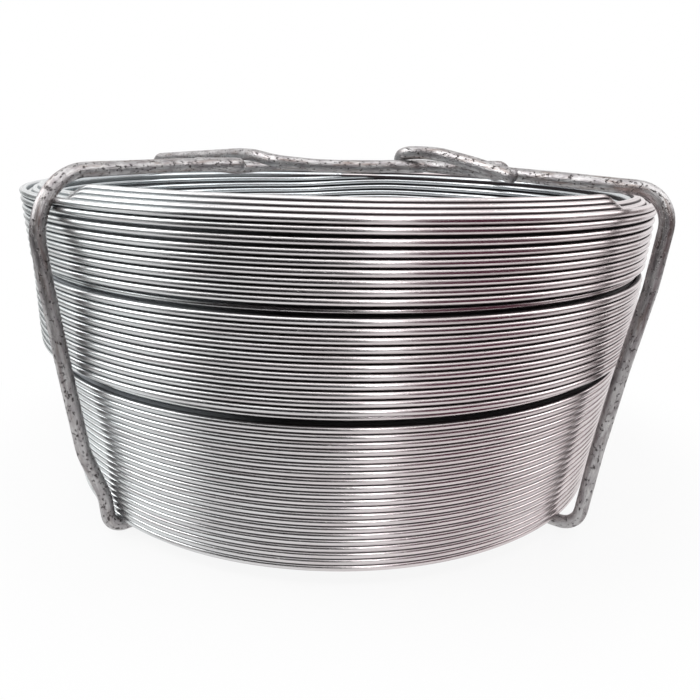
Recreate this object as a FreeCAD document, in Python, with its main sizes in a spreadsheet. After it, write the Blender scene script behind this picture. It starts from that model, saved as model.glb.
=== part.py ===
"""Coil of binding wire, held by two heavier tie wires that cross under it and hook on top.

Millimetres. The coil stands on its end: +Z is its axis, z = 0 is the floor under the tie wires,
and the front is towards -Y. An azimuth is counted from the front, positive towards +X.
"""
import FreeCAD, Part
import math
import os
import Sketcher

SIZES = {
    # the wire of the coil and how it is wound, from the top down
    "wire_gauge": 1.6,
    "top_radius": 78.4,
    "upper_lean": 0.072,
    "upper_layers": 5,
    "upper_turns": 9,
    "upper_pitch": 1.755,
    "recess_height": 1.6,
    "middle_turns": 11,
    "middle_pitch": 1.69,
    "gap_height": 2.5,
    "gap_layers": 2,
    "band_step": 1.75,
    "lower_lean": 0.168,
    "lower_layers": 4,
    "lower_turns": 21,
    "lower_pitch": 1.6,
    # the tie wires
    "tie_gauge": 3.1,
    "seat_gap": 0.1,
    "left_azimuth": -45.0,
    "right_azimuth": 50.0,
    "strand_rise": 5.8,
    "hook_radius": 3.2,
    "hook_tail": 4.0,
    "left_rim_play": 1.6,
    "left_upper_play": 2.05,
    "left_ledge_play": 1.35,
    "left_belly_play": 3.15,
    "left_toe_play": 0.95,
    "left_top_bend": 10.4,
    "left_corner_rise": 3.4,
    "left_foot_bend": 4.2,
    "right_rim_play": 4.5,
    "right_upper_play": 3.45,
    "right_ledge_play": 1.45,
    "right_belly_play": 2.85,
    "right_toe_play": 3.4,
    "right_top_bend": 7.0,
    "right_corner_rise": 2.4,
    "right_foot_bend": 5.9,
    "back_play": 0.5,
    "back_belly_play": 1.5,
    "back_toe_play": 0.95,
    "back_top_bend": 3.3,
    "back_corner_rise": 0.5,
    "back_foot_bend": 3.2,
}

doc = FreeCAD.newDocument("binding_wire_coil")
sheet = doc.addObject("Spreadsheet::Sheet", "Sizes")
for row, (alias, value) in enumerate(SIZES.items(), start=1):
    sheet.set("A%d" % row, alias)
    sheet.set("B%d" % row, str(value))
    sheet.setAlias("B%d" % row, alias)
doc.recompute()


class Size:
    """A number together with the expression on the sheet that gives it."""

    def __init__(self, value, text):
        self.value = value
        self.text = text

    @staticmethod
    def of(other):
        return other if isinstance(other, Size) else Size(float(other), repr(float(other)))

    def __add__(self, other):
        other = Size.of(other)
        return Size(self.value + other.value, "(%s + %s)" % (self.text, other.text))

    def __sub__(self, other):
        other = Size.of(other)
        return Size(self.value - other.value, "(%s - %s)" % (self.text, other.text))

    def __mul__(self, other):
        other = Size.of(other)
        return Size(self.value * other.value, "(%s * %s)" % (self.text, other.text))

    def __truediv__(self, other):
        other = Size.of(other)
        return Size(self.value / other.value, "(%s / %s)" % (self.text, other.text))

    def root(self):
        return Size(math.sqrt(self.value), "sqrt(%s)" % self.text)


def size(alias):
    return Size(float(getattr(sheet, alias)), "Sizes." + alias)


# Levels of the coil, from the floor up

wire = size("wire_gauge")
half_wire = wire / 2
foot_level = size("tie_gauge") + size("seat_gap")
lower_top = foot_level + size("lower_turns") * size("lower_pitch")
middle_foot = lower_top + size("gap_height")
middle_top = middle_foot + size("middle_turns") * size("middle_pitch")
upper_foot = middle_top + size("recess_height")
top_level = upper_foot + size("upper_turns") * size("upper_pitch")


def nested_step(pitch):
    """How much further in a layer lies when its turns sit in the valleys of the one outside it."""
    return (wire * wire - pitch * pitch / 4).root()


upper_step = nested_step(size("upper_pitch"))
lower_step = nested_step(size("lower_pitch"))
upper_wall = wire + upper_step * (size("upper_layers") - 1)
lower_wall = wire + lower_step * (size("lower_layers") - 1)


def upper_radius(level):
    """Outer radius of the upper and middle bands, which lean in a little towards the foot."""
    return size("top_radius") - size("upper_lean") * (top_level - half_wire - level)


lower_top_radius = upper_radius(middle_foot) - size("band_step")
foot_radius = lower_top_radius - size("lower_lean") * (lower_top - foot_level - half_wire)
gap_radius = upper_radius(middle_foot) - upper_step * size("gap_layers")


# The turned profile of the coil

EDGE_OPENING = 90.0


def contact_opening(step, pitch):
    """How far from its crest, in degrees, a raised end turn touches the sunk one beside it."""
    return 90.0 + math.degrees(math.atan2(pitch.value / 2, step.value))


def end_turns(layers, step, pitch, outer_radius, level, upward):
    """The end turns seen in section, from the outermost in: centre, half openings and flats.

    Every second layer is half a pitch back, because its turns sit in the valleys of the first.
    """
    turns = []
    raised_opening = contact_opening(step, pitch)
    sunk_opening = 180.0 - raised_opening
    count = int(round(layers.value))
    sign = 1 if upward else -1
    for layer in range(count):
        raised = layer % 2 == 0
        centre_x = outer_radius - half_wire - step * layer
        centre_z = level - half_wire * sign
        if not raised:
            centre_z = centre_z - pitch / 2 * sign
        opening = raised_opening if raised else sunk_opening
        outward = EDGE_OPENING if layer == 0 else opening
        inward = EDGE_OPENING if layer == count - 1 else opening
        turns.append((centre_x, centre_z, outward, inward, 2 if raised else 1))
    return turns


def ridges(turns, crest_angle, outward_first):
    """Corners of the end turns, each a ridge of equal flats whose corners lie on the round wire."""
    corners = []
    for centre_x, centre_z, outward, inward, flats in turns:
        first, last = (outward, inward) if outward_first else (inward, outward)
        angles = [crest_angle - first * (flats - k) / flats for k in range(flats)]
        angles += [crest_angle + last * k / flats for k in range(flats + 1)]
        if corners and abs(angles[0] - crest_angle) != EDGE_OPENING:
            angles = angles[1:]
        for angle in angles:
            along = half_wire * math.cos(math.radians(angle))
            up = half_wire * math.sin(math.radians(angle))
            corners.append((centre_x + along, centre_z + up))
    return corners


def coil_profile():
    """The corners of the closed profile, counter-clockwise."""
    outer = [
        (lower_top_radius, lower_top),
        (gap_radius, lower_top),
        (gap_radius, middle_foot),
        (upper_radius(middle_foot), middle_foot),
        (upper_radius(middle_top), middle_top),
        (upper_radius(middle_top) - upper_step, middle_top),
        (upper_radius(upper_foot) - upper_step, upper_foot),
        (upper_radius(upper_foot), upper_foot),
    ]
    top = end_turns(size("upper_layers"), upper_step, size("upper_pitch"),
                    size("top_radius"), top_level, True)
    inner = [
        (upper_radius(middle_foot) - upper_wall, middle_foot),
        (lower_top_radius - lower_wall, lower_top),
    ]
    bottom = end_turns(size("lower_layers"), lower_step, size("lower_pitch"),
                       foot_radius, foot_level, False)
    return outer + ridges(top, 90.0, True) + inner + ridges(list(reversed(bottom)), 270.0, False)


def origin_plane(body, role):
    return [plane for plane in body.Origin.OriginFeatures if plane.Role == role][0]


def draw_profile(sketch, corners):
    """Joins the corners with lines and ties both places of every corner to the sheet."""
    count = len(corners)
    for number, corner in enumerate(corners):
        following = corners[(number + 1) % count]
        start = FreeCAD.Vector(corner[0].value, corner[1].value, 0)
        end = FreeCAD.Vector(following[0].value, following[1].value, 0)
        sketch.addGeometry(Part.LineSegment(start, end), False)
    for number, corner in enumerate(corners):
        sketch.addConstraint(Sketcher.Constraint("Coincident", number, 2, (number + 1) % count, 1))
        for kind, value in (("DistanceX", corner[0]), ("DistanceY", corner[1])):
            place = sketch.addConstraint(Sketcher.Constraint(kind, -1, 1, number, 1, value.value))
            sketch.setExpression("Constraints[%d]" % place, value.text)


def make_coil():
    """The wound wire as one turned solid with its bore; its end turns stand as ridges."""
    body = doc.addObject("PartDesign::Body", "wire_coil")
    body.Label = "wire_coil"
    profile = body.newObject("Sketcher::SketchObject", "coil_profile")
    profile.AttachmentSupport = [(origin_plane(body, "XZ_Plane"), "")]
    profile.MapMode = "FlatFace"
    doc.recompute()
    draw_profile(profile, coil_profile())
    turned = body.newObject("PartDesign::Revolution", "turned_coil")
    turned.Profile = profile
    turned.ReferenceAxis = (profile, ["V_Axis"])
    turned.Angle = 360.0
    profile.Visibility = False
    return body


# The tie wires

# The flats of a section lie within 0.04 mm of the round wire, and each chord turns a bend a little.
TIE_SIDES = 14
BEND_STEP = 23.0

tie = size("tie_gauge").value
half_tie = tie / 2
gap = size("seat_gap").value
hook_radius = size("hook_radius").value
hook_tail = size("hook_tail").value
strand_level = top_level.value + size("strand_rise").value
over_level = strand_level + tie + gap


def polar(azimuth, radius, level):
    """A point at this azimuth from the front."""
    angle = math.radians(azimuth)
    return FreeCAD.Vector(radius * math.sin(angle), -radius * math.cos(angle), level)


def lower_radius(level):
    """Outer radius of the lower band at this level."""
    return foot_radius.value + size("lower_lean").value * (level - foot_level.value)


def leg(azimuth, plays, top_bend, corner_rise, foot_bend):
    """The corners of one leg from over the rim down to the floor, each with its play from the coil.

    plays are the room left beside the rim, the upper band, the ledge of the middle band, the
    lower band and the foot. corner_rise lifts the upper corner over a strand that lies on the rim.
    """
    room = half_tie + gap
    rim_play, upper_play, ledge_play, belly_play, toe_play = plays
    upper_level = upper_foot.value
    ledge_level = middle_foot.value + wire.value
    belly_level = (lower_top.value + foot_level.value) / 2 + wire.value
    rim = size("top_radius").value + room + rim_play
    upper = upper_radius(upper_foot).value + room + upper_play
    ledge = upper_radius(middle_foot).value + room + ledge_play
    belly = lower_radius(belly_level) + room + belly_play
    toe = foot_radius.value + room + toe_play
    return [
        (polar(azimuth, rim, top_level.value + room + corner_rise), top_bend),
        (polar(azimuth, upper, upper_level), None),
        (polar(azimuth, ledge, ledge_level), None),
        (polar(azimuth, belly, belly_level), None),
        (polar(azimuth, toe, half_tie), foot_bend),
    ]


def front_leg(side):
    """The leg on this side of the front, as the photo shows it."""
    names = ("rim", "upper", "ledge", "belly", "toe")
    plays = [size("%s_%s_play" % (side, name)).value for name in names]
    return leg(size(side + "_azimuth").value, plays, size(side + "_top_bend").value,
               size(side + "_corner_rise").value, size(side + "_foot_bend").value)


def back_leg(azimuth):
    """A leg at the back, close to the coil."""
    play = size("back_play").value
    plays = [play, play, play, size("back_belly_play").value, size("back_toe_play").value]
    return leg(azimuth, plays, size("back_top_bend").value,
               size("back_corner_rise").value, size("back_foot_bend").value)


def bent_path(route):
    """The corners of the bent wire, each sharp turn shared out over a few chords round its bend.

    The chords touch the bend from outside, so what the wire hooks round keeps its room.
    """
    points = [point for point, radius in route]
    path = [points[0]]
    for before, (corner, radius), after in zip(points, route[1:-1], points[2:]):
        back = (before - corner).normalize()
        ahead = (after - corner).normalize()
        turn = math.pi - back.getAngle(ahead)
        if radius is None:
            path.append(corner)
            continue
        chords = int(math.ceil(turn / math.radians(BEND_STEP)))
        step = turn / chords
        middle = (back + ahead).normalize()
        side = (ahead - back).normalize()
        heart = corner + middle * (radius / math.cos(turn / 2))
        reach = radius / math.cos(step / 2)
        for number in range(chords):
            angle = (number + 0.5) * step - turn / 2
            path.append(heart - middle * (reach * math.cos(angle)) + side * (reach * math.sin(angle)))
    path.append(points[-1])
    length = sum((b - a).Length for a, b in zip(path, path[1:]))
    return Part.makePolygon(path), length


def many_sided(centre, heading):
    """A regular section square to the heading, with its corners on the round wire."""
    across = heading.cross(FreeCAD.Vector(0, 0, 1)).normalize()
    up = across.cross(heading).normalize()
    corners = []
    for number in range(TIE_SIDES + 1):
        angle = 2 * math.pi * (number + 0.5) / TIE_SIDES
        corners.append(centre + across * (half_tie * math.cos(angle)) + up * (half_tie * math.sin(angle)))
    return Part.makePolygon(corners)


def make_tie(name, route):
    """One bent tie wire: a many-sided section carried along its path with mitred joints."""
    path, length = bent_path(route)
    start = route[0][0]
    heading = (route[1][0] - start).normalize()
    section = many_sided(start, heading)
    solid = path.makePipeShell([section], True, False, 1)
    feature = doc.addObject("Part::Feature", name)
    feature.Label = name
    feature.Shape = solid
    feature.Placement = FreeCAD.Placement()
    expected = Part.Face(section).Area * length
    print("%s length %.1f volume %.1f expected %.1f" % (name, length, solid.Volume, expected))
    if abs(solid.Volume - expected) > 0.01 * expected:
        raise RuntimeError(name + " has not the volume of its section along its length")
    return feature


def left_tie_route():
    """Front left leg, under the coil to the back right leg, both ends hooked in each other on top.

    The two hooks lie flat, side by side, each round the tail of the other.
    """
    front = size("left_azimuth").value
    back = front + 180.0
    heart = FreeCAD.Vector(-31.0, -9.0, strand_level)
    along = polar(back, 1.0, 0.0)
    across = FreeCAD.Vector(-along.y, along.x, 0)
    spread = hook_radius * 1.5
    turn = (hook_tail - half_tie) / 2 + hook_radius
    tail = hook_tail - (hook_tail - half_tie) / 2

    def spot(forward, sideways):
        return heart + along * forward + across * sideways

    near_hook = [
        (spot(-tail, hook_radius * 2 - spread), None),
        (spot(turn, hook_radius * 2 - spread), hook_radius),
        (spot(turn, -spread), hook_radius),
        (spot(-14.0, -spread), None),
    ]
    far_hook = [
        (spot(22.0, spread + 1.0), None),
        (spot(9.0, spread), None),
        (spot(-turn, spread), hook_radius),
        (spot(-turn, spread - 2 * hook_radius), hook_radius),
        (spot(tail, spread - 2 * hook_radius), None),
    ]
    return near_hook + front_leg("left") + list(reversed(back_leg(back))) + far_hook


def right_tie_route():
    """Front right leg, under the coil and over the other tie to the back left leg.

    On top the strand from the back left passes over the other tie behind its hooks. Its end goes
    through the loop of the strand from the front right and turns down behind it, and the tail of
    the loop lies back over its own strand.
    """
    front = size("right_azimuth").value
    back = front - 180.0
    over_floor = half_tie + tie + gap
    low = strand_level - 0.2
    under_low = low - tie - 1.3

    def at(x, y, level):
        return FreeCAD.Vector(x, y, level)

    tail = [
        (at(38.0, -33.5, strand_level - 1.2), None),
        (at(30.5, -24.5, strand_level + 1.2), None),
        (at(23.0, -15.5, over_level), None),
    ]
    loop = [
        (at(12.2, -13.0, over_level), hook_radius + 1.2),
        (at(12.2, -3.6, low), hook_radius + 1.2),
    ]
    front_strand = [
        (at(21.0, -4.6, low), None),
        (at(31.5, -19.0, strand_level - 0.6), None),
        (at(46.0, -37.0, strand_level - 0.9), None),
    ]
    under = [
        (polar(front, 22.0, half_tie), None),
        (polar(front, 9.0, over_floor), None),
        (polar(back, 9.0, over_floor), None),
        (polar(back, 22.0, half_tie), None),
    ]
    back_strand = [
        (at(-30.8, 5.6, over_level + gap), None),
        (at(-25.2, -2.6, over_level + gap), None),
        (at(-18.0, -9.5, strand_level + 0.7), None),
        (at(-7.0, -13.0, strand_level - 0.9), None),
        (at(4.0, -13.4, strand_level - 1.3), None),
        (at(12.5, -13.2, low), None),
    ]
    caught_end = [
        (at(20.0, -13.0, low), hook_radius),
        (at(20.0, -2.5, under_low), None),
    ]
    return (tail + loop + front_strand + front_leg("right") + under
            + list(reversed(back_leg(back))) + back_strand + caught_end)


coil = make_coil()
doc.recompute()
pieces = [coil, make_tie("left_tie_wire", left_tie_route()), make_tie("right_tie_wire", right_tie_route())]
doc.recompute()

for item in doc.Objects:
    if "Invalid" in item.State or "Error" in item.State:
        raise RuntimeError("failed object " + item.Name)
os.makedirs("parts", exist_ok=True)
for piece in pieces:
    shape = piece.Shape
    if shape.isNull() or not shape.isValid() or len(shape.Solids) != 1:
        raise RuntimeError("bad shape " + piece.Label)
    shape.exportStep("parts/%s.step" % piece.Label)
    box = shape.BoundBox
    print("%s volume %.0f z %.2f to %.2f" % (piece.Label, shape.Volume, box.ZMin, box.ZMax))
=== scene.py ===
# %% [markdown]
# # A coil of binding wire
#
# Thin bare steel wire is wound in nested layers into a ring that stands on its end, and two
# heavier galvanised tie wires cross under it and hook into each other over the bore. This lesson
# dresses the measured CAD model: the winding is drawn turn by turn, and both kinds of wire get a
# finish that answers to the light.
#
# Numbers are in millimetres until a mesh is made. An azimuth is counted from the front, which
# looks towards -Y, and grows towards +X.

import math

import bpy
import numpy as np
from mathutils import Matrix


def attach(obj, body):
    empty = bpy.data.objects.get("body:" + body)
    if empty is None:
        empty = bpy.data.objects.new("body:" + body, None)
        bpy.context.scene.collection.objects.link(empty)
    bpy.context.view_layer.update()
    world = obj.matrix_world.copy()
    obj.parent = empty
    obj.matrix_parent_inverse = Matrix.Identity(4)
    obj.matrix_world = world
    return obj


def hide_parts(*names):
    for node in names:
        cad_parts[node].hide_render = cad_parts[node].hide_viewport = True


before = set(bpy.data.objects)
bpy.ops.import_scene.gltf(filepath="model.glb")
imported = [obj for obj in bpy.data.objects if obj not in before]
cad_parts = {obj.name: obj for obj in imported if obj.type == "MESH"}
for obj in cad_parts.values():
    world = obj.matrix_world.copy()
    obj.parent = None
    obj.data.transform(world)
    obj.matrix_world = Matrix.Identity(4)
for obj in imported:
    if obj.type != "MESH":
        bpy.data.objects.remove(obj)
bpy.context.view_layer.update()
MM = 0.001

# %% [markdown]
# ## How the wire is wound
#
# A maker winds the coil on a drum whose walls lean a little, so every band has a level for each
# of its turns and a radius that grows with the level. The lists run from the top down. Two of the
# upper turns sit a little loose, which the photograph shows as wider dark lines. The levels and
# the radii are those of the CAD profile, except that the lower band leans a little less here.

# %% Levels and radii of the turns
WIRE = 1.6
HALF_WIRE = WIRE / 2
TIE = 3.1
SEAT_GAP = 0.1
FOOT_LEVEL = TIE + SEAT_GAP
LOWER_TURNS = 21
MIDDLE_TURNS = 11
UPPER_TURNS = 9
LOWER_TOP = FOOT_LEVEL + LOWER_TURNS * WIRE
GROOVE_HEIGHT = 2.5
MIDDLE_FOOT = LOWER_TOP + GROOVE_HEIGHT
MIDDLE_PITCH = 1.69
MIDDLE_TOP = MIDDLE_FOOT + MIDDLE_TURNS * MIDDLE_PITCH
UPPER_FOOT = MIDDLE_TOP + WIRE
UPPER_PITCH = 1.755
TOP_LEVEL = UPPER_FOOT + UPPER_TURNS * UPPER_PITCH
TOP_RADIUS = 78.4
UPPER_LEAN = 0.072
LOWER_LEAN = 0.15
BAND_STEP = 1.75

upper_steps = np.array([1.66, 1.92, 1.88, 1.70, 1.69, 1.70, 1.69, 1.70])
upper_levels = TOP_LEVEL - HALF_WIRE - np.concatenate([[0.0], np.cumsum(upper_steps)])
recess_level = UPPER_FOOT - HALF_WIRE
middle_levels = MIDDLE_TOP - MIDDLE_PITCH * (np.arange(MIDDLE_TURNS) + 0.5)
lower_levels = LOWER_TOP - WIRE * (np.arange(LOWER_TURNS) + 0.5)
upper_nest = math.sqrt(WIRE ** 2 - UPPER_PITCH ** 2 / 4)
lower_nest = math.sqrt(WIRE ** 2 - WIRE ** 2 / 4)


def upper_centre(level):
    """Radius of the wire's centre line in the two upper bands: the top radius less the lean."""
    return TOP_RADIUS - HALF_WIRE - UPPER_LEAN * (TOP_LEVEL - HALF_WIRE - level)


LOWER_TOP_CENTRE = upper_centre(MIDDLE_FOOT) - BAND_STEP


def lower_centre(level):
    """Radius of the wire's centre line in the lower band, which leans in towards the foot."""
    return LOWER_TOP_CENTRE - LOWER_LEAN * (LOWER_TOP - level)


print("turns outside", len(upper_levels) + 1 + len(middle_levels) + len(lower_levels))
print("nest step", round(upper_nest, 3), round(lower_nest, 3))

# %% [markdown]
# ## From a list of turns to one long wire
#
# A real winding is one wire. Each turn runs level for most of the way round, and steps to the
# next one over a short stretch at the back. A chain of tori would show as separate rings there,
# and a plain helix would tilt the lines at the front, so the level and the radius are functions
# of the angle wound so far, with a smooth step at each passage of the back.

# %% The path of a winding
STEP_HALF_WIDTH = 0.30
SEAM_AZIMUTH = math.pi
WAVE_SPEEDS = (0.31, 0.53, 0.87, 1.37, 2.23, 3.61)
ANY_PHASE = 6.28
LIFT_SPEED = 0.9
LIFT_SHARE = 0.35


def smooth(t):
    """Rises from 0 to 1 as t goes from 0 to 1, with level ends: t squared times (3 - 2t)."""
    t = np.clip(t, 0.0, 1.0)
    return t * t * (3.0 - 2.0 * t)


def stepped(wound, values, seams):
    """values[k] on turn k, passing to values[k + 1] around the wound angle seams[k].

    It is the first value plus, for each seam, the change there times a smooth step.
    """
    changes = np.diff(values)
    ramps = smooth((wound[:, None] - seams[None, :]) / (2 * STEP_HALF_WIDTH) + 0.5)
    return values[0] + ramps @ changes


def winding(levels, radii, segments, seed, looseness=0.05):
    """Centre line of a wire wound through these turns: azimuth, radius and level, in arrays.

    The azimuth starts at the seam and grows by a whole turn for each level. Slow sine waves in
    the wound angle, a little different for each seed, stand for the hand of the maker: they pull
    the wire in by about the looseness, in millimetres, and lift or lower it by less.
    """
    turns = len(levels)
    wound = np.linspace(0.0, 2 * math.pi * turns, segments * turns + 1)
    seams = 2 * math.pi * np.arange(1, turns)
    level = stepped(wound, np.asarray(levels, float), seams)
    radius = stepped(wound, np.asarray(radii, float), seams)
    chance = np.random.default_rng(seed)
    wave = np.zeros_like(wound)
    lift = np.zeros_like(wound)
    for speed in WAVE_SPEEDS:
        wave += np.sin(wound * speed + chance.uniform(0, ANY_PHASE)) * chance.uniform(0.5, 1.0)
        lift += np.sin(wound * speed * LIFT_SPEED + chance.uniform(0, ANY_PHASE)) * chance.uniform(0.5, 1.0)
    radius = radius - looseness * (1.0 + wave / 4.0)
    level = level + LIFT_SHARE * looseness * lift / 4.0
    return SEAM_AZIMUTH + wound, radius, level


# %% [markdown]
# ## A tube round a ring
#
# A wire that runs round the coil's axis is a surface of two parameters: the place along the
# winding and the angle round the wire's own section. Because the wire is nearly level, the
# section stands in the plane through the axis, and its two directions are outwards and up. The
# mesh also keeps, at every point, where it lies on the straightened wire, for the drawn streaks
# of the finish to follow.

# %% Helpers that make a mesh from a grid
SLIDE = 0.45
SLIDE_HEIGHT = 20.0
END_BAND = 0.75 * WIRE
BETWEEN_WIRES = 37.0


def slid(points):
    """The lower turns, wound a little wider and slid a little to the left, as the photograph shows.

    Below the recess the radius grows by the slide and the axis moves left by it, so the right side
    keeps its place.
    """
    points = np.array(points, float)
    slide = SLIDE * smooth((MIDDLE_TOP - points[:, 2]) / SLIDE_HEIGHT)
    wider = 1.0 + slide / np.hypot(points[:, 0], points[:, 1])
    return np.stack([points[:, 0] * wider - slide, points[:, 1] * wider, points[:, 2]], -1)


def grid_faces(rows, columns):
    """Quads between neighbouring rows, closed round the columns, and then a cap for each end."""
    row = np.arange(rows - 1)[:, None]
    column = np.arange(columns)[None, :]
    after = (column + 1) % columns
    quads = np.stack([row * columns + column, (row + 1) * columns + column,
                      (row + 1) * columns + after, row * columns + after], -1)
    faces = quads.reshape(-1, 4).tolist()
    faces.append(list(range(columns)))
    faces.append([(rows - 1) * columns + k for k in range(columns - 1, -1, -1)])
    return faces


def piece(name, points, faces, run, open_side, material_slot, node):
    """Puts points in millimetres and faces into a mesh that rides on the root body."""
    mesh = bpy.data.meshes.new(name)
    if node == "wire_coil":
        points = slid(points)
    mesh.from_pydata((np.asarray(points) * MM).tolist(), [], faces)
    mesh.polygons.foreach_set("use_smooth", np.ones(len(faces), bool))
    lie = mesh.attributes.new("run", "FLOAT_VECTOR", "POINT")
    lie.data.foreach_set("vector", np.asarray(run, np.float32).ravel())
    exposed = mesh.attributes.new("exposed", "FLOAT", "POINT")
    exposed.data.foreach_set("value", np.asarray(open_side, np.float32).ravel())
    mesh.validate()
    mesh.update()
    thing = bpy.data.objects.new(name, mesh)
    bpy.context.scene.collection.objects.link(thing)
    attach(thing, "root")
    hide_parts(node)
    count = sum(len(p.vertices) - 2 for p in mesh.polygons)
    print(name, "triangles", count)
    return thing


def wound_tubes(paths, around):
    """Points, faces, run and exposure of several wound wires, each with its open side in degrees.

    A point is the centre line plus the half gauge times the cosine of the section angle outwards
    and the sine of it upwards. The exposure is the cosine of the angle from the open side, so it
    falls to nothing in the valleys between neighbours, where the finish paints shade. The end
    turns are open above or below too.
    The run starts a stretch later on each wire, so that no two wires have the same streaks.
    """
    section = np.linspace(0, 2 * math.pi, around, endpoint=False)
    points, faces, runs, caps, exposures = [], [], [], [], []
    start, travelled = 0, 0.0
    for (azimuth, radius, level), open_side in paths:
        beside = np.cos(section - math.radians(open_side))[None, :]
        above = np.sin(section)[None, :] * (level[:, None] > TOP_LEVEL - END_BAND)
        below = -np.sin(section)[None, :] * (level[:, None] < FOOT_LEVEL + END_BAND)
        exposures.append(np.maximum(beside, np.maximum(above, below)).ravel())
        reach = radius[:, None] + HALF_WIRE * np.cos(section)[None, :]
        x = reach * np.sin(azimuth)[:, None]
        y = -reach * np.cos(azimuth)[:, None]
        z = level[:, None] + HALF_WIRE * np.sin(section)[None, :]
        length = travelled + np.abs(azimuth - azimuth[0]) * radius.mean()
        along = np.broadcast_to(length[:, None], x.shape)
        side = np.broadcast_to(HALF_WIRE * np.cos(section)[None, :], x.shape)
        up = np.broadcast_to(HALF_WIRE * np.sin(section)[None, :], x.shape)
        points.append(np.stack([x, y, z], -1).reshape(-1, 3))
        runs.append(np.stack([along, side, up], -1).reshape(-1, 3))
        made = grid_faces(len(azimuth), around)
        shifted = [[v + start for v in face] for face in made]
        faces.extend(shifted[:-2])
        caps.extend(shifted[-2:])
        start += len(azimuth) * around
        travelled = float(length[-1]) + BETWEEN_WIRES
    return np.concatenate(points), faces + caps, np.concatenate(runs), np.concatenate(exposures)


# %% [markdown]
# ## The outer turns
#
# These are what the photograph is full of. The nine upper turns, the recessed one and the eleven
# middle ones are one piece, and the tight lower band is the second. The recessed turn lies one
# layer further in, which makes the fine dark groove, and a turn two layers in is all that shows
# in the wide one. The segments of a turn are fine where the camera comes close.

# %% Wind the outer turns
AROUND = 12
FINE = 250
PLAIN = 200
COARSE = 180
HIDDEN = 160
LOOSE = 0.055
TIGHT = 0.02

upper_wire = winding(upper_levels, upper_centre(upper_levels), FINE, 3, LOOSE)
recess_wire = winding([recess_level], [upper_centre(recess_level) - upper_nest], FINE, 5)
middle_wire = winding(middle_levels, upper_centre(middle_levels), FINE, 8, LOOSE)
gap_level = (LOWER_TOP + MIDDLE_FOOT) / 2
gap_wire = winding([gap_level], [upper_centre(gap_level) - 2 * upper_nest], HIDDEN, 9)
under_level = middle_levels[-1] + MIDDLE_PITCH / 2
under_wire = winding([under_level], [upper_centre(under_level) - upper_nest], HIDDEN, 11)
lower_wire = winding(lower_levels, lower_centre(lower_levels), FINE, 13, TIGHT)

OUTWARD, UPWARD, INWARD, DOWNWARD = 0.0, 90.0, 180.0, 270.0
outer_wires = [(upper_wire, OUTWARD), (recess_wire, OUTWARD), (middle_wire, OUTWARD),
               (gap_wire, OUTWARD), (under_wire, OUTWARD)]
upper_turns = piece("upper_turns", *wound_tubes(outer_wires, AROUND), "coil_wire", "wire_coil")
lower_turns = piece("lower_turns", *wound_tubes([(lower_wire, OUTWARD)], AROUND),
                    "coil_wire", "wire_coil")

# %% [markdown]
# ## The turns inside the bore and on the ends
#
# Looking down, the bore shows the innermost layer, and the rim shows one turn of each layer.
# Every layer lies half a pitch off its neighbour, because its turns sit in the valleys there. Over
# the front, between the two tie wires, one more turn lies on the inner layers, so the rim climbs
# inwards there, and short steps beside the tie wires show where these turns begin and end.

# %% Wind the bore and the ends
UPPER_LAYERS = 5
LOWER_LAYERS = 4
upper_in = upper_nest * (UPPER_LAYERS - 1)
lower_in = lower_nest * (LOWER_LAYERS - 1)

RAISED_FROM, RAISED_TO = math.radians(-43), math.radians(47)
RAISED_STEP = 0.11
SUNK_PITCHES = 1.12
BORE_AROUND = 8
RIM_OPEN = 75.0


def raised_in_front(path):
    """Sinks a wound wire by a little more than a pitch, except over the front between two azimuths."""
    azimuth, radius, level = path
    seen = (azimuth + math.pi) % (2 * math.pi) - math.pi
    front = smooth((seen - RAISED_FROM) / RAISED_STEP + 0.5) * smooth((RAISED_TO - seen) / RAISED_STEP + 0.5)
    return azimuth, radius, level - SUNK_PITCHES * UPPER_PITCH * (1.0 - front)


bore_levels = np.concatenate([upper_levels, [recess_level], middle_levels])
bore_upper = winding(bore_levels, upper_centre(bore_levels) - upper_in, COARSE, 17)
bore_lower = winding(lower_levels, lower_centre(lower_levels) - lower_in, COARSE, 19, TIGHT)
bore_turns = piece("bore_turns", *wound_tubes([(bore_upper, INWARD), (bore_lower, INWARD)], BORE_AROUND),
                   "coil_wire", "wire_coil")

layer = np.arange(1, UPPER_LAYERS - 1)
rim_levels = TOP_LEVEL - HALF_WIRE + UPPER_PITCH / 2 * layer
rim_radii = TOP_RADIUS - HALF_WIRE - upper_nest * layer
raised_rim = raised_in_front(winding(rim_levels, rim_radii, FINE, 23))
inmost_level = TOP_LEVEL - HALF_WIRE + UPPER_PITCH
inmost_rim = raised_in_front(winding([inmost_level], [TOP_RADIUS - HALF_WIRE - upper_in], FINE, 27))
second_rim = winding(rim_levels - UPPER_PITCH, rim_radii, PLAIN, 29)
layer = np.arange(1, LOWER_LAYERS - 1)
foot_levels = FOOT_LEVEL + HALF_WIRE + WIRE / 2 * (layer % 2)
foot_radii = lower_centre(FOOT_LEVEL + HALF_WIRE) - lower_nest * layer
foot_wire = winding(foot_levels, foot_radii, PLAIN, 31, TIGHT)
end_wires = [(raised_rim, RIM_OPEN), (inmost_rim, UPWARD), (second_rim, RIM_OPEN), (foot_wire, DOWNWARD)]
end_turns = piece("end_turns", *wound_tubes(end_wires, AROUND), "coil_wire", "wire_coil")

# %% [markdown]
# ## What is behind the turns
#
# The hidden layers never show as wires, only as the dark between them. A ring that stays behind
# the centre lines of the visible layers stands for them and stops light from coming through. Its
# section is a short list of corners turned round the axis: from the groove outside up to the rim,
# and down the bore to the foot.

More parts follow.
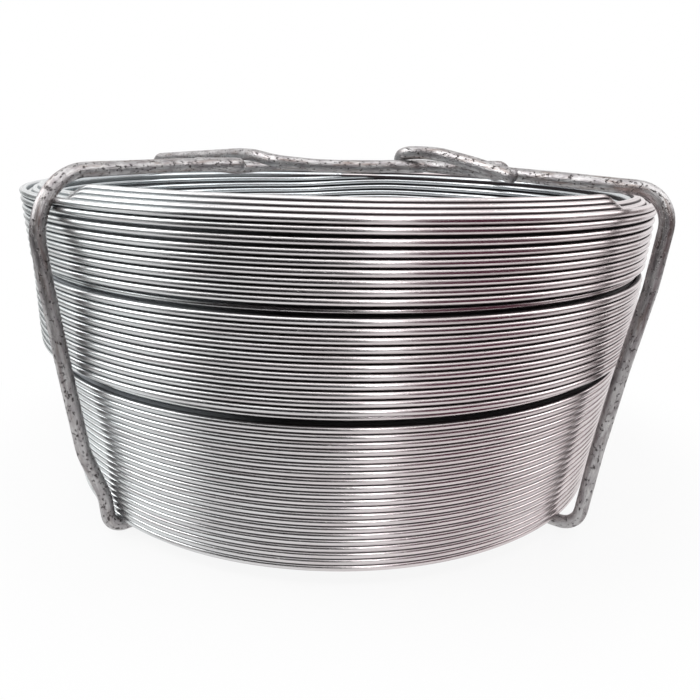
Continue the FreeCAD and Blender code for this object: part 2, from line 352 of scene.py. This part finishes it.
# %% Turn the core
BEHIND = 0.95
GROOVE_FLOOR = LOWER_TOP - 0.5
GROOVE_ROOF = MIDDLE_FOOT + 1.6
BAND_FOOT = MIDDLE_FOOT + 2.2
RECESS_EDGE = 0.9
RECESS_WALL = 0.4
CORE_FOOT = FOOT_LEVEL + 2.2
CORE_SHOULDER = TOP_LEVEL - 2.3
CORE_RIDGE = TOP_LEVEL - 1.2
core_outline = np.array([
    (lower_centre(LOWER_TOP) - BEHIND, GROOVE_FLOOR),
    (upper_centre(LOWER_TOP) - 2 * upper_nest - BEHIND, GROOVE_FLOOR),
    (upper_centre(MIDDLE_FOOT) - 2 * upper_nest - BEHIND, GROOVE_ROOF),
    (upper_centre(MIDDLE_FOOT) - BEHIND, BAND_FOOT),
    (upper_centre(MIDDLE_TOP) - BEHIND, MIDDLE_TOP - RECESS_EDGE),
    (upper_centre(MIDDLE_TOP) - upper_nest - BEHIND, MIDDLE_TOP - RECESS_WALL),
    (upper_centre(UPPER_FOOT) - upper_nest - BEHIND, UPPER_FOOT + RECESS_WALL),
    (upper_centre(UPPER_FOOT) - BEHIND, UPPER_FOOT + RECESS_EDGE),
    (upper_centre(TOP_LEVEL) - BEHIND, CORE_SHOULDER),
    (upper_centre(TOP_LEVEL) - 3 * upper_nest, CORE_RIDGE),
    (upper_centre(TOP_LEVEL) - upper_in + BEHIND, CORE_SHOULDER),
    (upper_centre(MIDDLE_FOOT) - upper_in + BEHIND, MIDDLE_FOOT),
    (lower_centre(LOWER_TOP) - lower_in + BEHIND, LOWER_TOP),
    (lower_centre(FOOT_LEVEL) - lower_in + BEHIND, CORE_FOOT),
    (lower_centre(FOOT_LEVEL) - BEHIND, CORE_FOOT),
])


def turned(outline, segments):
    """The outline turned round the axis: azimuth by azimuth, the corners at their radius."""
    azimuth = np.linspace(0, 2 * math.pi, segments + 1)[:, None]
    x = outline[:, 0] * np.sin(azimuth)
    y = -outline[:, 0] * np.cos(azimuth)
    z = np.broadcast_to(outline[:, 1], x.shape)
    points = np.stack([x, y, z], -1)[:-1].reshape(-1, 3)
    columns = len(outline)
    row = np.arange(segments)[:, None]
    column = np.arange(columns)[None, :]
    ahead = (row + 1) % segments
    after = (column + 1) % columns
    quads = np.stack([row * columns + column, ahead * columns + column,
                      ahead * columns + after, row * columns + after], -1)
    return points, quads.reshape(-1, 4).tolist()


core_points, core_faces = turned(core_outline, HIDDEN)
winding_core = piece("winding_core", core_points, core_faces, core_points, np.zeros(len(core_points)),
                     "coil_wire", "wire_coil")

# %% [markdown]
# ## The tie wires
#
# Each tie wire is one stiff wire bent by hand. Its corners are those of the CAD model, moved by up
# to about 2.5 mm where the photograph shows a bend more closely. The left leg also has a bend at
# its shin. A bent wire has no sudden change of curvature, so the line of straight runs and arcs is
# read at even distances and averaged over a short length. The hooks need their true clearance, so
# the averaging stays shorter than their radius.

# %% Corners of the tie wires
HALF_TIE = TIE / 2
STRAND = TOP_LEVEL + 5.8
OVER = STRAND + TIE + SEAT_GAP
LOW = STRAND - 0.2
HOOK_LEVEL = STRAND - 0.7
DIP = 1.3
CROSSING = HOOK_LEVEL - DIP + TIE + 0.4
ROOM = HALF_TIE + SEAT_GAP
OVER_THE_LEFT = HALF_TIE + TIE + SEAT_GAP
GENTLE = 14.0
FRONT_LEFT, FRONT_RIGHT, BACK_RIGHT, BACK_LEFT = -45, 50, 135, -130


def polar(azimuth, radius, level):
    """The point at this azimuth in degrees, this radius and this level."""
    angle = math.radians(azimuth)
    return (radius * math.sin(angle), -radius * math.cos(angle), level)


def outside(level):
    """Outer radius of the coil at this level."""
    return (upper_centre(level) if level > MIDDLE_FOOT - 0.1 else lower_centre(level)) + HALF_WIRE


def leg(azimuth, plays, top_bend, corner_rise, foot_bend):
    """Corners and bend radii of one leg, from over the rim down to the floor.

    The plays are how far the wire stands off the coil at the rim, the recess, the ledge over the
    wide groove, the belly of the lower band and the foot.
    """
    ledge = MIDDLE_FOOT + WIRE
    belly = (LOWER_TOP + FOOT_LEVEL) / 2 + WIRE
    foot = lower_centre(FOOT_LEVEL + HALF_WIRE) + HALF_WIRE
    return [
        (polar(azimuth, TOP_RADIUS + ROOM + plays[0], TOP_LEVEL + ROOM + corner_rise), top_bend),
        (polar(azimuth, outside(UPPER_FOOT) + ROOM + plays[1], UPPER_FOOT), GENTLE),
        (polar(azimuth, outside(MIDDLE_FOOT) + ROOM + plays[2], ledge), GENTLE),
        (polar(azimuth, outside(belly) + ROOM + plays[3], belly), GENTLE),
        (polar(azimuth, foot + ROOM + plays[4], HALF_TIE), foot_bend),
    ]


front_left_leg = leg(FRONT_LEFT, (2.6, 2.05, 1.35, 2.9, 0.9), 13.0, 2.95, 3.8)
front_right_leg = leg(FRONT_RIGHT, (4.5, 3.45, 1.45, 2.4, 2.6), 7.0, 1.8, 5.0)
back_right_leg = leg(BACK_RIGHT, (0.5, 0.5, 0.5, 1.5, 0.95), 4.5, 2.65, 3.2)
back_left_leg = leg(BACK_LEFT, (0.5, 0.6, 1.4, 2.4, 1.8), 4.5, 2.65, 3.2)

SHIN = 10.0
SHIN_PLAY = 0.75
front_left_leg.insert(-1, (polar(FRONT_LEFT, outside(SHIN) + ROOM + SHIN_PLAY, SHIN), GENTLE))

HOOK = 3.2
LOOP = HOOK + 1.2
HOOK_TAIL = 4.0
HOOK_TURN = (HOOK_TAIL - HALF_TIE) / 2 + HOOK
HOOK_END = HOOK_TAIL - (HOOK_TAIL - HALF_TIE) / 2


def spot(forward, sideways, lower=0.0):
    """A place by the two flat hooks: forward along the left tie, sideways to its left."""
    heart = np.array([-31.0, -9.0, HOOK_LEVEL - lower])
    along = np.array(polar(BACK_RIGHT, 1.0, 0.0))
    across = np.array([-along[1], along[0], 0.0])
    return tuple(heart + along * forward + across * sideways)


left_corners = [
    (spot(-HOOK_END, HOOK * 0.5), 0),
    (spot(HOOK_TURN, HOOK * 0.5), HOOK),
    (spot(HOOK_TURN, -HOOK * 1.5), HOOK),
    (spot(-14.0, -HOOK * 1.5), GENTLE),
] + front_left_leg + back_right_leg[::-1] + [
    (spot(22.0, HOOK * 1.5 + 1.0, DIP * 0.6), GENTLE),
    (spot(9.0, HOOK * 1.5, DIP), GENTLE),
    (spot(-HOOK_TURN, HOOK * 1.5), HOOK),
    (spot(-HOOK_TURN, -HOOK * 0.5), HOOK),
    (spot(HOOK_END, -HOOK * 0.5), 0),
]
right_corners = [
    ((38.0, -33.5, STRAND - 1.2), 0),
    ((30.5, -24.5, STRAND + 1.2), GENTLE),
    ((23.0, -15.5, OVER), GENTLE),
    ((14.7, -13.0, OVER), LOOP),
    ((14.7, -3.6, LOW), LOOP),
    ((21.0, -4.6, LOW), GENTLE),
    ((31.5, -19.0, STRAND - 0.6), GENTLE),
    ((46.0, -37.0, STRAND - 1.2), GENTLE),
] + front_right_leg + [
    (polar(FRONT_RIGHT, 22.0, HALF_TIE), GENTLE),
    (polar(FRONT_RIGHT, 9.0, OVER_THE_LEFT), GENTLE),
    (polar(BACK_LEFT, 9.0, OVER_THE_LEFT), GENTLE),
    (polar(BACK_LEFT, 22.0, HALF_TIE), GENTLE),
] + back_left_leg[::-1] + [
    ((-27.5, 4.5, CROSSING), GENTLE),
    ((-22.5, -4.0, CROSSING), GENTLE),
    ((-16.5, -9.5, STRAND + 0.3), GENTLE),
    ((-7.0, -13.0, STRAND - 0.4), GENTLE),
    ((4.0, -13.4, STRAND - 0.6), GENTLE),
    ((12.5, -13.2, LOW), GENTLE),
    ((20.0, -13.0, LOW), HOOK),
    ((20.0, -9.4, LOW), 0),
]
print("corners", len(left_corners), len(right_corners))

# %% [markdown]
# ## From corners to a smooth tube
#
# At a corner, the arc begins and ends where its radius times the tangent of half the turn has
# been cut from the two runs. After that the tube needs two directions across it at every place.
# A direction made from one fixed helper vector would twist the streaks where the wire bends, so
# the twist is added up along the wire and turned back.

# %% Helpers for a bent wire
TIE_AROUND = 18
SPACING = 0.7
SOFTEN = 1.5
ARC_POINTS = 24
SHARE_OF_RUN = 0.45
END_ROUNDING = 0.12
END_LENGTH = 0.25
WAVER = 0.006


def bent_line(corners):
    """Points at an even spacing on the runs and arcs, averaged over a short length.

    A gentle bend takes at most its share of the shorter run beside it.
    """
    place = np.array([c[0] for c in corners], float)
    bend = [c[1] for c in corners]
    line = [place[0]]
    for k in range(1, len(place) - 1):
        back = place[k - 1] - place[k]
        ahead = place[k + 1] - place[k]
        reach = min(np.linalg.norm(back), np.linalg.norm(ahead))
        back, ahead = back / np.linalg.norm(back), ahead / np.linalg.norm(ahead)
        turn = math.pi - math.acos(float(np.clip(back @ ahead, -1, 1)))
        radius = bend[k]
        if radius == GENTLE:
            radius = min(GENTLE, SHARE_OF_RUN * reach / math.tan(turn / 2))
        middle = (back + ahead) / np.linalg.norm(back + ahead)
        centre = place[k] + middle * (radius / math.cos(turn / 2))
        angle = np.linspace(-turn / 2, turn / 2, ARC_POINTS)[:, None]
        side = (ahead - back) / np.linalg.norm(ahead - back)
        line.extend(centre - middle * radius * np.cos(angle) + side * radius * np.sin(angle))
    line.append(place[-1])
    line = np.array(line)
    travelled = np.concatenate([[0.0], np.cumsum(np.linalg.norm(np.diff(line, axis=0), axis=1))])
    even = np.linspace(0.0, travelled[-1], int(travelled[-1] / SPACING) + 1)
    read = np.stack([np.interp(even, travelled, line[:, axis]) for axis in range(3)], -1)
    width = int(SOFTEN / SPACING) // 2 * 2 + 1
    padded = np.concatenate([2 * read[0] - read[width // 2:0:-1], read,
                             2 * read[-1] - read[-2:-width // 2 - 1:-1]])
    kernel = np.ones(width) / width
    return np.stack([np.convolve(padded[:, axis], kernel, "valid") for axis in range(3)], -1), even


def across_directions(line, helper):
    """Two directions across the line at each point, which don't turn about it.

    The first is the helper made square to the line, and the second is square to both. The turn of
    that pair about the line, added up from the start, is taken off again.
    """
    tangent = np.gradient(line, axis=0)
    tangent /= np.linalg.norm(tangent, axis=1, keepdims=True)
    first = np.cross(tangent, helper)
    smallest = np.linalg.norm(first, axis=1).min()
    first /= np.linalg.norm(first, axis=1, keepdims=True)
    second = np.cross(tangent, first)
    twist = np.concatenate([[0.0], np.cumsum((np.diff(first, axis=0) * (second[1:] + second[:-1]) / 2)
                                             .sum(1))])[:, None]
    print("helper stays square by", round(float(smallest), 2))
    return (first * np.cos(twist) - second * np.sin(twist),
            first * np.sin(twist) + second * np.cos(twist))


def bent_tube(corners, helper):
    """Points, faces and run of a bent wire with slightly rounded cut ends.

    A point is the line plus the half gauge, less near the ends, along the two directions turned
    by the section angle. The gauge wavers by a hundredth of a millimetre, as a hand-bent wire's does.
    """
    line, even = bent_line(corners)
    first, second = across_directions(line, np.asarray(helper, float))
    section = np.linspace(0, 2 * math.pi, TIE_AROUND, endpoint=False)
    edge = np.minimum(even, even[-1] - even)
    waves = np.sin(even * 0.61) * np.sin(even * 0.23)
    size = HALF_TIE * (1 - END_ROUNDING * np.exp(-edge / END_LENGTH) - WAVER * (1 + waves))
    ring = np.cos(section)[None, :, None] * first[:, None] + np.sin(section)[None, :, None] * second[:, None]
    points = line[:, None] + size[:, None, None] * ring
    along = np.broadcast_to(even[:, None], points.shape[:2])
    run = np.stack([along, HALF_TIE * np.cos(section)[None, :] + 0 * along,
                    HALF_TIE * np.sin(section)[None, :] + 0 * along], -1)
    faces = grid_faces(len(line), TIE_AROUND)
    return points.reshape(-1, 3), faces, run.reshape(-1, 3), np.ones(points.shape[:2])


# %% Bend the two tie wires
left_tie = piece("left_tie", *bent_tube(left_corners, (0.75, -0.45, 0.5)), "tie_wire", "left_tie_wire")
right_tie = piece("right_tie", *bent_tube(right_corners, (0.6, 0.65, 0.45)), "tie_wire", "right_tie_wire")

# %% [markdown]
# ## Shader maths in words
#
# A finish is a little sum over the surface. Wrapping a socket in a class lets the sum be written
# as one, and every plus or times adds its own Math node. Any other node comes from one method.

# %% A socket that can be added and multiplied
PER_RADIUS = 1.0 / (TOP_RADIUS * MM)


class Reading:
    """The value of one socket of a finish, for use in sums and products."""

    def __init__(self, finish, socket):
        self.finish = finish
        self.socket = socket

    def maths(self, operation, first, second):
        return self.finish.node("ShaderNodeMath", {"operation": operation}, {0: first, 1: second})

    def __add__(self, other):
        return self.maths("ADD", self, other)

    def __radd__(self, other):
        return self.maths("ADD", other, self)

    def __sub__(self, other):
        return self.maths("SUBTRACT", self, other)

    def __rsub__(self, other):
        return self.maths("SUBTRACT", other, self)

    def __mul__(self, other):
        return self.maths("MULTIPLY", self, other)

    def __rmul__(self, other):
        return self.maths("MULTIPLY", other, self)


class Finish:
    """A material under construction."""

    def __init__(self, name):
        self.material = bpy.data.materials.new(name)
        self.material.use_nodes = True
        self.tree = self.material.node_tree
        self.tree.nodes.clear()

    def node(self, kind, settings=None, values=None, output=0):
        """Adds a node of this kind, sets it and its sockets, and reads one of its outputs."""
        made = self.tree.nodes.new(kind)
        for name, value in (settings or {}).items():
            setattr(made, name, value)
        for name, value in (values or {}).items():
            if isinstance(value, Reading):
                self.tree.links.new(value.socket, made.inputs[name])
            else:
                made.inputs[name].default_value = value
        return Reading(self, made.outputs[output]) if len(made.outputs) else None

    def mix(self, amount, first, second):
        """The first colour where amount is 0 and the second where it is 1."""
        return self.node("ShaderNodeMix", {"data_type": "RGBA"}, {0: amount, 6: first, 7: second}, 2)

    def noise(self, place, scale, detail=3.0, roughness=0.55):
        """Grey noise, about 0.5 on average, read at this place."""
        return self.node("ShaderNodeTexNoise", {}, {"Vector": place, "Scale": scale, "Detail": detail,
                                                   "Roughness": roughness})

    def stretched(self, place, factors):
        """The place with its three numbers multiplied, which stretches what reads it."""
        return self.node("ShaderNodeVectorMath", {"operation": "MULTIPLY"}, {0: place, 1: factors})

    def between(self, value, low, high):
        """0 below low, 1 above high, and a smooth rise between them."""
        return self.node("ShaderNodeMapRange", {"interpolation_type": "SMOOTHSTEP"},
                         {"Value": value, "From Min": low, "From Max": high})

    def lit_from_left(self, place):
        """Mask for painted light: 1 on the left of the coil, falling to 0 a little left of its middle."""
        across = self.node("ShaderNodeSeparateXYZ", {}, {0: place}, 0)
        return 1.0 - self.between(across * PER_RADIUS, -0.45, -0.12)

    def metal(self, colour, metallic, roughness, height, depth_mm):
        """Closes the finish with one Principled shader whose bump is depth_mm high."""
        bump = self.node("ShaderNodeBump", {}, {"Height": height, "Distance": depth_mm * MM, "Strength": 1.0})
        shader = self.node("ShaderNodeBsdfPrincipled", {}, {
            "Base Color": colour, "Metallic": metallic, "Roughness": roughness, "Normal": bump})
        self.node("ShaderNodeOutputMaterial", {}, {"Surface": shader})
        return self.material


def colour(red, green, blue):
    return (red, green, blue, 1.0)


# %% [markdown]
# ## Bare drawn wire
#
# The die leaves fine scratches along the wire, so the noise is stretched along the run that each
# mesh keeps. The valleys between the turns, where the exposure is small, get painted shade. It is
# painted paler at the left of the coil, as painted light falling into the valleys, and it is less
# dark inside the bore, where the wire also has darker tints as painted shade. Patches are a little
# duller where the drawing soap stayed. The tint drifts from a cool grey at the left to a faint warm
# brown at the right as a painted reflection, and small bright nicks sparkle in the light.

# %% Finish of the coil wire
# Painted reflection: the two steel tints, cool for the left and warm for the right.
STEEL_COOL_PAINTED_REFLECTION = colour(0.70, 0.735, 0.74)
STEEL_WARM_PAINTED_REFLECTION = colour(0.72, 0.645, 0.65)
# Painted shade: darker tints for the wire inside the bore.
SHADED_STEEL_LEFT_PAINTED_REFLECTION = colour(0.60, 0.65, 0.67)
SHADED_STEEL_RIGHT_PAINTED_REFLECTION = colour(0.58, 0.61, 0.63)
DULL_STEEL = colour(0.40, 0.36, 0.365)
BRIGHT_NICK = colour(0.85, 0.84, 0.80)
# Painted shade for the valleys between the turns.
VALLEY_PAINTED_SHADE = colour(0.055, 0.045, 0.048)
# Painted light for the valleys at the left of the coil.
VALLEY_PAINTED_LIGHT = colour(0.30, 0.32, 0.33)
# A paler painted shade for the valleys inside the bore.
BORE_VALLEY_PAINTED_SHADE = colour(0.24, 0.25, 0.26)


def drawn_wire_finish(name, left_tint, right_tint, valley_shade):
    """Metal whose roughness follows streaks along the wire, with a tint drift across the coil that is a
    painted reflection, and painted shade in the valleys.
    """
    bare = Finish(name)
    run = bare.node("ShaderNodeAttribute", {"attribute_name": "run"}, output=1)
    place = bare.node("ShaderNodeTexCoord", output=3)
    streaks = bare.noise(bare.stretched(run, (0.035, 3.2, 3.2)), 1.6, 4.0, 0.6)
    patches = bare.noise(bare.stretched(run, (0.05, 0.5, 0.5)), 1.0, 2.0)
    nicks = bare.noise(bare.stretched(run, (0.9, 2.6, 2.6)), 1.5, 2.0, 0.5)
    nick = bare.between(nicks, 0.66, 0.74)
    across = bare.node("ShaderNodeSeparateXYZ", {}, {0: place}, 0)
    exposed = bare.node("ShaderNodeAttribute", {"attribute_name": "exposed"}, output=2)
    # Painted reflection: the tint drifts from cool at the left to warm at the right, broken by patches.
    warm = bare.between(across * PER_RADIUS + 0.35 * (patches - 0.5), -0.7, 0.45)
    tint = bare.mix(warm, left_tint, right_tint)
    dull = bare.mix(bare.between(streaks, 0.40, 0.80), tint, DULL_STEEL)
    worn = bare.mix(nick * 0.6, dull, BRIGHT_NICK)
    # Painted shade: where the exposure is small, in the valleys between the turns, the colour turns to the
    # valley shade.
    out_of_valley_shade = bare.between(exposed + 0.12 * (streaks - 0.5), 0.36, 0.74)
    # Painted light: the valley shade is paler at the left of the coil.
    valley_shade_colour = bare.mix(bare.lit_from_left(place), valley_shade, VALLEY_PAINTED_LIGHT)
    colour_with_painted_light = bare.mix(out_of_valley_shade, valley_shade_colour, worn)
    rough = 0.22 + 0.12 * (patches - 0.5) + 0.20 * (streaks - 0.4) + 0.25 * (1.0 - out_of_valley_shade)
    return bare.metal(colour_with_painted_light, 1.0, rough, streaks * 0.6 + nick * 0.4, 0.02)


outer_finish = drawn_wire_finish("drawn_wire", STEEL_COOL_PAINTED_REFLECTION, STEEL_WARM_PAINTED_REFLECTION, VALLEY_PAINTED_SHADE)
# Painted shade: the wire in the bore gets darker tints and a paler valley shade.
bore_painted_shade_finish = drawn_wire_finish("drawn_wire_in_bore_painted_shade", SHADED_STEEL_LEFT_PAINTED_REFLECTION, SHADED_STEEL_RIGHT_PAINTED_REFLECTION, BORE_VALLEY_PAINTED_SHADE)
for thing in (upper_turns, lower_turns, end_turns):
    thing.data.materials.append(outer_finish)
bore_turns.data.materials.append(bore_painted_shade_finish)
print("coil wire nodes", len(outer_finish.node_tree.nodes))

# %% [markdown]
# ## The dark between the layers
#
# Hidden wire, painted as shade: nearly black and a little uneven, and painted paler at the left
# as painted light falling into the grooves.

# %% Finish of the core
# Painted shade in near black and dark grey, and painted light in pale grey for the left.
CORE_PAINTED_SHADE_BLACK = colour(0.020, 0.019, 0.020)
CORE_PAINTED_SHADE_GREY = colour(0.05, 0.047, 0.048)
CORE_PAINTED_LIGHT = colour(0.52, 0.55, 0.58)


def core_painted_shade_finish():
    """Painted shade: nearly black metal with a faint mottle, and painted light in grey at the left."""
    deep = Finish("hidden_layers_painted_shade")
    place = deep.node("ShaderNodeTexCoord", output=3)
    mottle = deep.noise(place, 400.0)
    # Painted shade with a faint mottle.
    dark = deep.mix(mottle, CORE_PAINTED_SHADE_BLACK, CORE_PAINTED_SHADE_GREY)
    # Painted light: grey at the left of the coil.
    tone = deep.mix(deep.lit_from_left(place), dark, CORE_PAINTED_LIGHT)
    return deep.metal(tone, 0.4, 0.5 + 0.2 * mottle, mottle, 0.02)


winding_core.data.materials.append(core_painted_shade_finish())

# %% [markdown]
# ## Galvanised tie wire
#
# Hot zinc sets in dull mottled patches. Handling rubs bright lines on it, and pits and dirt stay
# dark. Four noises along the wire make the patches, the brown tarnish, the scuffs and the specks.
# There is more tarnish on the upper part of the wires than near the floor.

# %% Finish of the tie wires
ZINC_GREY = colour(0.28, 0.26, 0.268)
ZINC_PALE = colour(0.52, 0.51, 0.51)
TARNISH = colour(0.20, 0.155, 0.14)
RUBBED_ZINC = colour(0.66, 0.64, 0.61)
SPECK = colour(0.045, 0.036, 0.036)


def galvanised_finish():
    """Dull zinc: patches change tone and roughness, scuffs are bright, specks dark and sunk."""
    zinc = Finish("galvanised_wire")
    run = zinc.node("ShaderNodeAttribute", {"attribute_name": "run"}, output=1)
    patches = zinc.noise(zinc.stretched(run, (0.22, 0.7, 0.7)), 1.0, 3.0, 0.6)
    scuffs = zinc.noise(zinc.stretched(run, (0.25, 2.4, 2.4)), 1.3, 4.0, 0.65)
    specks = zinc.noise(zinc.stretched(run, (1.1, 1.5, 1.5)), 1.1, 3.0, 0.6)
    scuff = zinc.between(scuffs, 0.56, 0.70)
    speck = zinc.between(specks, 0.56, 0.66)
    tone = zinc.mix(zinc.between(patches, 0.3, 0.7), ZINC_GREY, ZINC_PALE)
    tarnish = zinc.noise(zinc.stretched(run, (0.12, 0.9, 0.9)), 1.0, 4.0, 0.7)
    place = zinc.node("ShaderNodeTexCoord", output=3)
    height = zinc.node("ShaderNodeSeparateXYZ", {}, {0: place}, 2)
    higher = 0.3 + 0.7 * zinc.between(height, 0.035, 0.055)
    aged = zinc.mix(zinc.between(tarnish, 0.48, 0.66) * higher * 0.8, tone, TARNISH)
    rubbed = zinc.mix(scuff * 0.6, aged, RUBBED_ZINC)
    dirty = zinc.mix(speck * 0.85, rubbed, SPECK)
    rough = 0.34 + 0.2 * (patches - 0.5) - 0.08 * scuff + 0.25 * speck
    return zinc.metal(dirty, 0.85, rough, 0.7 * patches + 0.6 * scuffs - 0.7 * speck, 0.16)


tie_finish = galvanised_finish()
for thing in (left_tie, right_tie):
    thing.data.materials.append(tie_finish)
print("tie wire nodes", len(tie_finish.node_tree.nodes))

# %% [markdown]
# ## The camera
#
# The place and the lens were worked out from the curves of the turns in the photograph: each
# turn is a circle at a known height, and the camera that draws all of them where they are seen
# stands close, a little above the rim. The frame is 700 by 700.

# %% Place the camera
EYE = (0.0, -195.9, 87.2)
PITCH, YAW, ROLL = 0.2858, 0.0169, 0.0232
FOCAL_PIXELS = 719.2
FRAME_PIXELS = 700.0
SENSOR = 36.0
forward = np.array([math.sin(YAW) * math.cos(PITCH), math.cos(YAW) * math.cos(PITCH), -math.sin(PITCH)])
level_right = np.array([math.cos(YAW), -math.sin(YAW), 0.0])
level_up = np.cross(level_right, forward)
right = math.cos(ROLL) * level_right + math.sin(ROLL) * level_up
upwards = -math.sin(ROLL) * level_right + math.cos(ROLL) * level_up

lens = bpy.data.cameras.new("camera")
lens.sensor_fit = "HORIZONTAL"
lens.sensor_width = SENSOR
lens.lens = SENSOR * FOCAL_PIXELS / FRAME_PIXELS
lens.clip_start = 0.005
lens.clip_end = 20.0
camera = bpy.data.objects.new("camera", lens)
turn = Matrix((right, upwards, -forward)).transposed().to_4x4()
turn.translation = [v * MM for v in EYE]
camera.matrix_world = turn
bpy.context.scene.collection.objects.link(camera)
bpy.context.scene.camera = camera
print("lens", round(lens.lens, 2), "mm")

# %% [markdown]
# ## A plain studio
#
# Polished wire shows the room rather than a colour. The room here is white, as in a product
# photograph, with a soft lamp overhead and one on each side, and a narrow one to the right of the
# camera for the bright upright strip. Cloths lie on the floor round the front and the sides and
# turn up at their outer edge. Their reflections give each wire its dark middle: nearly black from
# the front, and grey from the sides. They are seen only in reflections.

# %% Floor, world, lamps and cloths
def stage_finish(name, light, white):
    """Plain matt colour for light that falls on it, and white for the camera and for reflections.

    A little of the matt colour, and with it the shadow, shows to the camera near the object.
    """
    pale = Finish(name)
    seen = pale.node("ShaderNodeLightPath", output="Is Camera Ray")
    glossy = pale.node("ShaderNodeLightPath", output="Is Glossy Ray")
    through = pale.node("ShaderNodeLightPath", output="Is Transmission Ray")
    matt = pale.node("ShaderNodeBsdfDiffuse", {}, {"Color": colour(light, light, light)})
    glow = pale.node("ShaderNodeEmission", {}, {"Color": colour(1, 1, 1), "Strength": 1.0})
    place = pale.node("ShaderNodeTexCoord", output=3)
    distance = pale.node("ShaderNodeVectorMath", {"operation": "LENGTH"}, {0: place}, 1)
    amount = (white + (1.0 - white) * pale.between(distance, 0.085, 0.13)) * (seen + glossy + through)
    surface = pale.node("ShaderNodeMixShader", {}, {0: amount, 1: matt, 2: glow})
    pale.node("ShaderNodeOutputMaterial", {}, {"Surface": surface})
    return pale.material


def flat_card(name, corners, faces, material):
    """A stage surface with these corners, in metres."""
    mesh = bpy.data.meshes.new(name)
    mesh.from_pydata(corners, [], faces)
    mesh.materials.append(material)
    card = bpy.data.objects.new(name, mesh)
    bpy.context.scene.collection.objects.link(card)
    return card


FLOOR_HALF = 4.0
floor_corners = [(-FLOOR_HALF, -FLOOR_HALF, 0), (FLOOR_HALF, -FLOOR_HALF, 0),
                 (FLOOR_HALF, FLOOR_HALF, 0), (-FLOOR_HALF, FLOOR_HALF, 0)]
flat_card("floor", floor_corners, [(0, 1, 2, 3)], stage_finish("pale_floor", 0.8, 0.88))

world = bpy.data.worlds.new("white_room")
bpy.context.scene.world = world
world.use_nodes = True
links = world.node_tree.links
shade = world.node_tree.nodes["Background"]
paths = world.node_tree.nodes.new("ShaderNodeLightPath")
shown = world.node_tree.nodes.new("ShaderNodeMath")
shown.operation = "ADD"
links.new(paths.outputs["Is Camera Ray"], shown.inputs[0])
links.new(paths.outputs["Is Glossy Ray"], shown.inputs[1])
also = world.node_tree.nodes.new("ShaderNodeMath")
also.operation = "ADD"
links.new(shown.outputs[0], also.inputs[0])
links.new(paths.outputs["Is Transmission Ray"], also.inputs[1])
strength = world.node_tree.nodes.new("ShaderNodeMapRange")
ROOM_LIGHT = 0.55
strength.inputs["To Min"].default_value = ROOM_LIGHT
strength.inputs["To Max"].default_value = 1.0
links.new(also.outputs[0], strength.inputs["Value"])
links.new(strength.outputs[0], shade.inputs["Strength"])
shade.inputs["Color"].default_value = (1, 1, 1, 1)


COIL_MIDDLE = 0.04


def lamp(name, azimuth, elevation, distance, width, height, watts):
    """A soft rectangular lamp that looks at the coil from this direction, in degrees and metres."""
    light = bpy.data.lights.new(name, "AREA")
    light.shape = "RECTANGLE"
    light.size = width
    light.size_y = height
    light.energy = watts
    thing = bpy.data.objects.new(name, light)
    a, e = math.radians(azimuth), math.radians(elevation)
    out = np.array([math.sin(a) * math.cos(e), -math.cos(a) * math.cos(e), math.sin(e)])
    target = np.array([0, 0, COIL_MIDDLE])
    side = np.array([math.cos(a), math.sin(a), 0.0])
    up = np.cross(out, side)
    turn = Matrix((side, up, out)).transposed().to_4x4()
    turn.translation = list(target + out * distance)
    thing.matrix_world = turn
    bpy.context.scene.collection.objects.link(thing)


lamp("overhead_lamp", 0, 80, 0.9, 0.9, 0.7, 3.0)
lamp("strip_lamp", 15, 32, 0.9, 0.08, 0.5, 0.8)
lamp("left_lamp", -90, 38, 1.0, 0.7, 0.6, 4.8)
lamp("right_lamp", 96, 38, 1.0, 0.6, 0.6, 2.2)

CLOTH_OUTER = 0.6
CLOTH_LIFT = 0.001
CLOTH_STEPS = 24


def cloth_arc(name, start, end, inner, high, tone):
    """A dark cloth that lies on the floor and turns up at its outer edge, between two azimuths."""
    azimuths = np.radians(np.linspace(start, end, CLOTH_STEPS))
    profile = ((inner, CLOTH_LIFT), (CLOTH_OUTER, CLOTH_LIFT), (CLOTH_OUTER, high))
    corners = [(r * math.sin(a), -r * math.cos(a), level) for a in azimuths for r, level in profile]
    starts = [3 * k + j for k in range(CLOTH_STEPS - 1) for j in range(2)]
    faces = [(v, v + 1, v + 4, v + 3) for v in starts]
    dark = Finish(name + "_cloth")
    shader = dark.node("ShaderNodeBsdfDiffuse", {}, {"Color": tone})
    dark.node("ShaderNodeOutputMaterial", {}, {"Surface": shader})
    card = flat_card(name, corners, faces, dark.material)
    card.visible_camera = False
    card.visible_diffuse = False
    card.visible_shadow = False


cloth_arc("cloth_far_left", -135, -52, 0.32, 0.16, colour(0.25, 0.26, 0.26))
cloth_arc("cloth_left", -52, 9, 0.17, 0.44, colour(0.015, 0.013, 0.014))
cloth_arc("cloth_right", 20, 66, 0.17, 0.36, colour(0.075, 0.018, 0.035))
cloth_arc("cloth_far_right", 66, 120, 0.32, 0.16, colour(0.25, 0.22, 0.22))
print("lamps and cloths", len(bpy.data.lights), sum("cloth" in m.name for m in bpy.data.meshes))

# %% Close the lesson
bpy.context.scene.view_settings.view_transform = "Standard"
